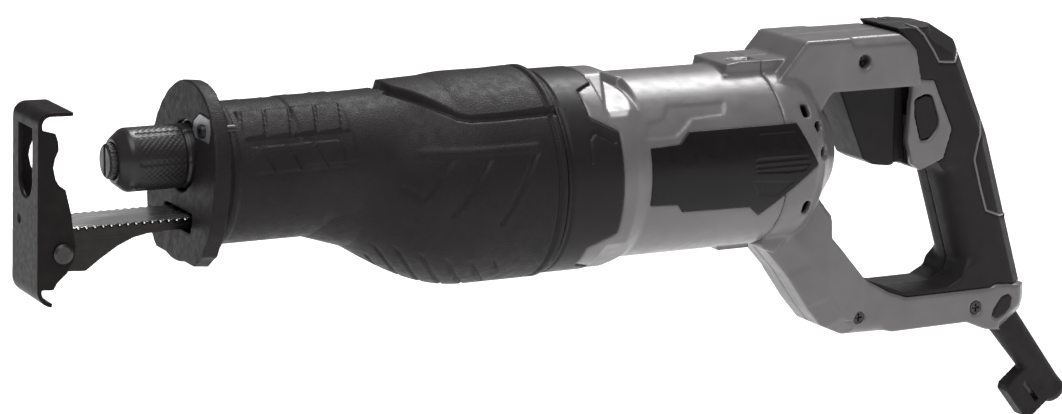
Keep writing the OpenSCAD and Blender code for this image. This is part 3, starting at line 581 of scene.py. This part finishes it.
def side_panel(node):
    piece = softened(node, 0.42, 2)
    x, y, z = points_of(piece).T
    fields = sum(plateau(x, z, field, 0.8) for field in PANEL_FIELDS)
    wave = np.abs(np.mod(z, RIB_PITCH) - RIB_PITCH / 2)
    ribs = (1 - step(wave, 0.3, 0.8)) * inside(x, z, PANEL_FIELDS[1])
    sink(piece, (PANEL_SINK * fields - RIB_HEIGHT * ribs) * (np.abs(y) > 25))
    return install(piece, node)


# ---- handle ---------------------------------------------------------------------------------

# Dark inlay near the lower end of the handle, as (x, z)
INLAY = [(437.4, -107.2), (438.6, -103.2), (443.2, -97.2), (448, -95.8),
         (450.2, -98.2), (449.4, -103), (445.6, -107), (440.6, -108.8)]

# Half widths of the lower bar, the grip's core, the leg and the grip's covers
BAR_W, CORE_W, LEG_W, GRIP_W = 18.0, 15.0, 21.8, 17.2

# Lines whose edges are rounded, as (x, z), and where the leg narrows
CORE_FRONT = [(423.6, -76), (412.2, -39)]
BAR_BOTTOM = [(376, -109.1), (356, -108.6)]
GRIP_BACK = [(403, 35.6), (416.5, 27.6), (437.6, -20.7), (459.6, -93)]
GRIP_FRONT = [(421.6, -76), (410.2, -39)]
GRIP_ROUND, CORE_ROUND, BAR_ROUND = 12.0, 10.0, 8.0
TAPER_X = (343.0, 366.0)


def handle():
    """Both clamshell halves, with a fine line where they meet."""
    piece = softened("handle_left", 0.95, 3, "handle_shell", partner="handle_right")
    x, y, z = points_of(piece).T
    parting = 0.3 * (1 - step(np.abs(y), 0.4, 1.1))
    seat = 0.9 * plateau(x, z, INLAY, 0.9) * (np.abs(y) > BAR_W - 1)
    sink(piece, parting + seat)
    round_edges(piece, CORE_FRONT, CORE_W, CORE_ROUND)
    taper_leg(piece)
    round_edges(piece, BAR_BOTTOM, BAR_W, BAR_ROUND)
    return install(piece, "handle_left", "handle_right")


def taper_leg(piece):
    """Narrows the leg's foot evenly to the width of the bar behind it."""
    points = points_of(piece)
    share = np.clip((points[:, 0] - TAPER_X[0]) / (TAPER_X[1] - TAPER_X[0]), 0, 1)
    limit = LEG_W + share * (BAR_W - LEG_W)
    low = (points[:, 2] < -60) & (points[:, 0] > TAPER_X[0]) & (points[:, 0] < TAPER_X[1] + 2)
    held = np.clip(points[:, 1], -limit, limit)
    points[:, 1] = np.where(low, held, points[:, 1])
    put_back(piece, points)


def handle_inlay(side):
    """A dark lozenge set into the handle's flank."""
    mid_x, mid_z = (sum(c) / len(INLAY) for c in zip(*INLAY))
    points = []
    for share, lift in ((0.86, -1.4), (0.86, -0.3), (0.72, 0.1)):
        for x, z in INLAY:
            points.append(((mid_x + share * (x - mid_x)) * MM, side * (BAR_W + lift) * MM,
                           (mid_z + share * (z - mid_z)) * MM))
    count = len(INLAY)
    faces = [tuple(range(count)), tuple(reversed(range(2 * count, 3 * count)))]
    for ring in (0, 1):
        for j in range(count):
            k = (j + 1) % count
            low, high = ring * count, (ring + 1) * count
            faces.append((low + j, high + j, high + k, low + k))
    mesh = bpy.data.meshes.new("handle_inlay")
    mesh.from_pydata(points, [], faces if side < 0 else [face[::-1] for face in faces])
    inlay = new_piece("handle_inlay_left" if side < 0 else "handle_inlay_right", mesh)
    dress(inlay, "black_plastic")
    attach(inlay, "housing")
    return inlay


# Piping let into the outside of each grip cover, as (x, z)
PIPING = [
    [(389.2, 36), (394.5, 31.6), (399.6, 24.4), (403.4, 18.4), (412.6, 17.6), (418.4, 21.2)],
    [(431.6, -12.6), (426.8, -22), (425.2, -29.8), (429.2, -43.6),
     (433.0, -54.8), (442.2, -58.4), (449.2, -59.6)],
]
PIPING_STEP, PIPING_R = 0.8, 0.62


def grip_cover(node):
    piece = softened(node, 0.75, 4)
    round_edges(piece, GRIP_BACK, GRIP_W, GRIP_ROUND)
    round_edges(piece, GRIP_FRONT, GRIP_W, GRIP_ROUND)
    x, y, z = points_of(piece).T
    seat = np.zeros(len(x))
    for line in PIPING:
        seat += 0.5 * (1 - step(line_distance(x, z, line), 0.6, 1.5)) * (np.abs(y) > 8)
    sink(piece, seat)
    return install(piece, node)


def resting_on(tree, x, z, side, lift_mm):
    """Point of a surface met by a line along Y from that side, lifted off it."""
    start = Vector((x * MM, side * 0.06, z * MM))
    hit, normal, _, _ = tree.ray_cast(start, Vector((0, -side, 0)), 0.06)
    return hit + normal * lift_mm * MM if hit else None


def piping(cover, side, line, name):
    """A thin grey strand that lies along the cover's surface."""
    tree = BVHTree.FromObject(cover, bpy.context.evaluated_depsgraph_get())
    spots = []
    for (x0, z0), (x1, z1) in zip(line, line[1:]):
        count = max(2, int(math.hypot(x1 - x0, z1 - z0) / PIPING_STEP))
        for i in range(count):
            x, z = x0 + i / count * (x1 - x0), z0 + i / count * (z1 - z0)
            spots.append(resting_on(tree, x, z, side, 0.05))
    spots = [spot for spot in spots if spot]
    curve = bpy.data.curves.new(name, "CURVE")
    curve.dimensions = "3D"
    curve.bevel_depth = PIPING_R * MM
    curve.bevel_resolution = 3
    curve.use_fill_caps = True
    spline = curve.splines.new("POLY")
    spline.points.add(len(spots) - 1)
    for point, spot in zip(spline.points, spots):
        point.co = (*spot, 1)
    strand = new_piece(name, curve)
    dress(strand, "grey_plastic")
    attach(strand, "housing")
    return strand


# ---- trigger, relief and nose ------------------------------------------------------------------

# Nodes that only need softer edges: voxel size and rounds of smoothing
PLAIN_SHELLS = {
    "trigger": (0.55, 5),
    "strain_relief": (0.55, 4),
    "lock_button": (0.35, 3),
    "shoe_plate": (0.42, 2),
    "shoe_arm": (0.45, 1),
}
KNURL_PITCH, KNURL_TWIST = 2.6, 0.24    # twist is millimetres along for each degree round
CAP_TOOTH = 15              # degrees from one flute of the nose cap to the next


def plain_shell(node):
    return install(softened(node, *PLAIN_SHELLS[node]), node)


def chuck_sleeve():
    """Twist sleeve with fine diamond knurling round its waist."""
    piece = softened("chuck_sleeve", 0.42, 3)
    x, y, z = points_of(piece).T
    turn = np.degrees(np.arctan2(y, z))
    radius = np.hypot(y, z)
    left = np.abs(np.mod(turn * KNURL_TWIST + x, KNURL_PITCH) - KNURL_PITCH / 2)
    right = np.abs(np.mod(turn * KNURL_TWIST - x, KNURL_PITCH) - KNURL_PITCH / 2)
    knurl = 0.12 * (1 - step(np.minimum(left, right), 0.15, 0.55))
    belt = step(x, 11, 13) * (1 - step(x, 31, 32)) * (radius > 11)
    ring = 0.6 * (1 - step(np.abs(x - 32.6), 0.4, 1.0)) * (radius > 11)
    sink(piece, knurl * belt + ring)
    return install(piece, "chuck_sleeve")


def chuck_cap():
    piece = softened("chuck_cap", 0.3, 2)
    x, y, z = points_of(piece).T
    turn = np.degrees(np.arctan2(y, z))
    off_flute = np.abs(np.mod(turn, CAP_TOOTH) - CAP_TOOTH / 2)
    sink(piece, 0.35 * (1 - step(off_flute, 1.4, 3.6)) * (np.hypot(y, z) > 6.6))
    return install(piece, "chuck_cap")


# ---- room -----------------------------------------------------------------------------------------

FLOOR_DROP = 0.16           # gap between the held tool's lowest point and the floor
FLOOR_HALF = 15.0
WORLD_STRENGTH = 0.22
VIEW_YAW, VIEW_PITCH, VIEW_ROLL = 27.0, 11.93, 0.64
VIEW_TARGET = Vector((0.1998, 0, -0.0365))
VIEW_DISTANCE = 1.49
LENS = 113.3


def add_camera():
    yaw, pitch, roll = (math.radians(v) for v in (VIEW_YAW, VIEW_PITCH, VIEW_ROLL))
    back = Vector((-math.sin(yaw) * math.cos(pitch), -math.cos(yaw) * math.cos(pitch), math.sin(pitch)))
    level = Vector((math.cos(yaw), -math.sin(yaw), 0))
    upright = back.cross(level)
    right = level * math.cos(roll) + upright * math.sin(roll)
    up = back.cross(right)
    data = bpy.data.cameras.new("camera")
    data.lens = LENS
    data.sensor_width = 36
    data.clip_start, data.clip_end = 0.05, 60
    camera = new_piece("camera", data)
    turned = Matrix((right, up, back)).transposed().to_4x4()
    camera.matrix_world = Matrix.Translation(VIEW_TARGET + back * VIEW_DISTANCE) @ turned
    bpy.context.scene.camera = camera


def add_floor():
    half, z = FLOOR_HALF, cad_box[0].z - FLOOR_DROP
    mesh = bpy.data.meshes.new("floor")
    corners = [(-half, -half, z), (half, -half, z), (half, half, z), (-half, half, z)]
    mesh.from_pydata(corners, [], [(0, 1, 2, 3)])
    finish = Finish("floor", specular=0.1)
    tone = finish.spread(finish.noise(900, 2), 0.3, 0.7, 0.0, 1.0)
    finish.colour(finish.blend(tone, (0.93, 0.93, 0.93), (0.95, 0.95, 0.95)))
    finish.roughness(finish.spread(finish.noise(40, 3), 0.3, 0.7, 0.75, 0.85))
    mesh.materials.append(finish.material)
    new_piece("floor", mesh)


def add_sun(name, power, spread, direction):
    data = bpy.data.lights.new(name, "SUN")
    data.energy = power
    data.angle = math.radians(spread)
    lamp = new_piece(name, data)
    lamp.rotation_mode = "QUATERNION"
    lamp.rotation_quaternion = Vector(direction).to_track_quat("Z", "Y")


def add_lights():
    world = bpy.data.worlds.new("studio")
    world.use_nodes = True
    sky = world.node_tree.nodes["Background"]
    sky.inputs["Color"].default_value = (1, 1, 1, 1)
    sky.inputs["Strength"].default_value = WORLD_STRENGTH
    bpy.context.scene.world = world
    add_sun("top_light", 2.8, 45, (-0.16, -0.38, 1.0))
    add_sun("back_light", 2.6, 24, (0.44, 0.38, 0.81))
    bpy.context.scene.view_settings.view_transform = "Standard"


# ---- assembly ----------------------------------------------------------------------------------------

def dress_frame():
    """CAD nodes that stay as they are get their finish."""
    for name, node in frame["nodes"].items():
        material = FINISHES[SLOT_OF[name]].material
        for i in range(len(node.data.materials)):
            node.data.materials[i] = material
        if not node.data.materials:
            node.data.materials.append(material)


add_camera()
add_floor()
add_lights()
dress_frame()
boot_skin()
boot_flange()
collar()
barrel()
for panel_node in ("side_panel_left", "side_panel_right"):
    side_panel(panel_node)
handle()
for inlay_side in (-1, 1):
    handle_inlay(inlay_side)
for cover_node, cover_side in (("grip_cover_left", -1), ("grip_cover_right", 1)):
    cover = grip_cover(cover_node)
    for number, route in enumerate(PIPING):
        piping(cover, cover_side, route, f"{cover_node}_piping_{number}")
for plain_node in ("trigger", "strain_relief", "lock_button"):
    plain_shell(plain_node)
chuck_sleeve()
chuck_cap()
for plain_node in ("shoe_plate", "shoe_arm"):
    plain_shell(plain_node)
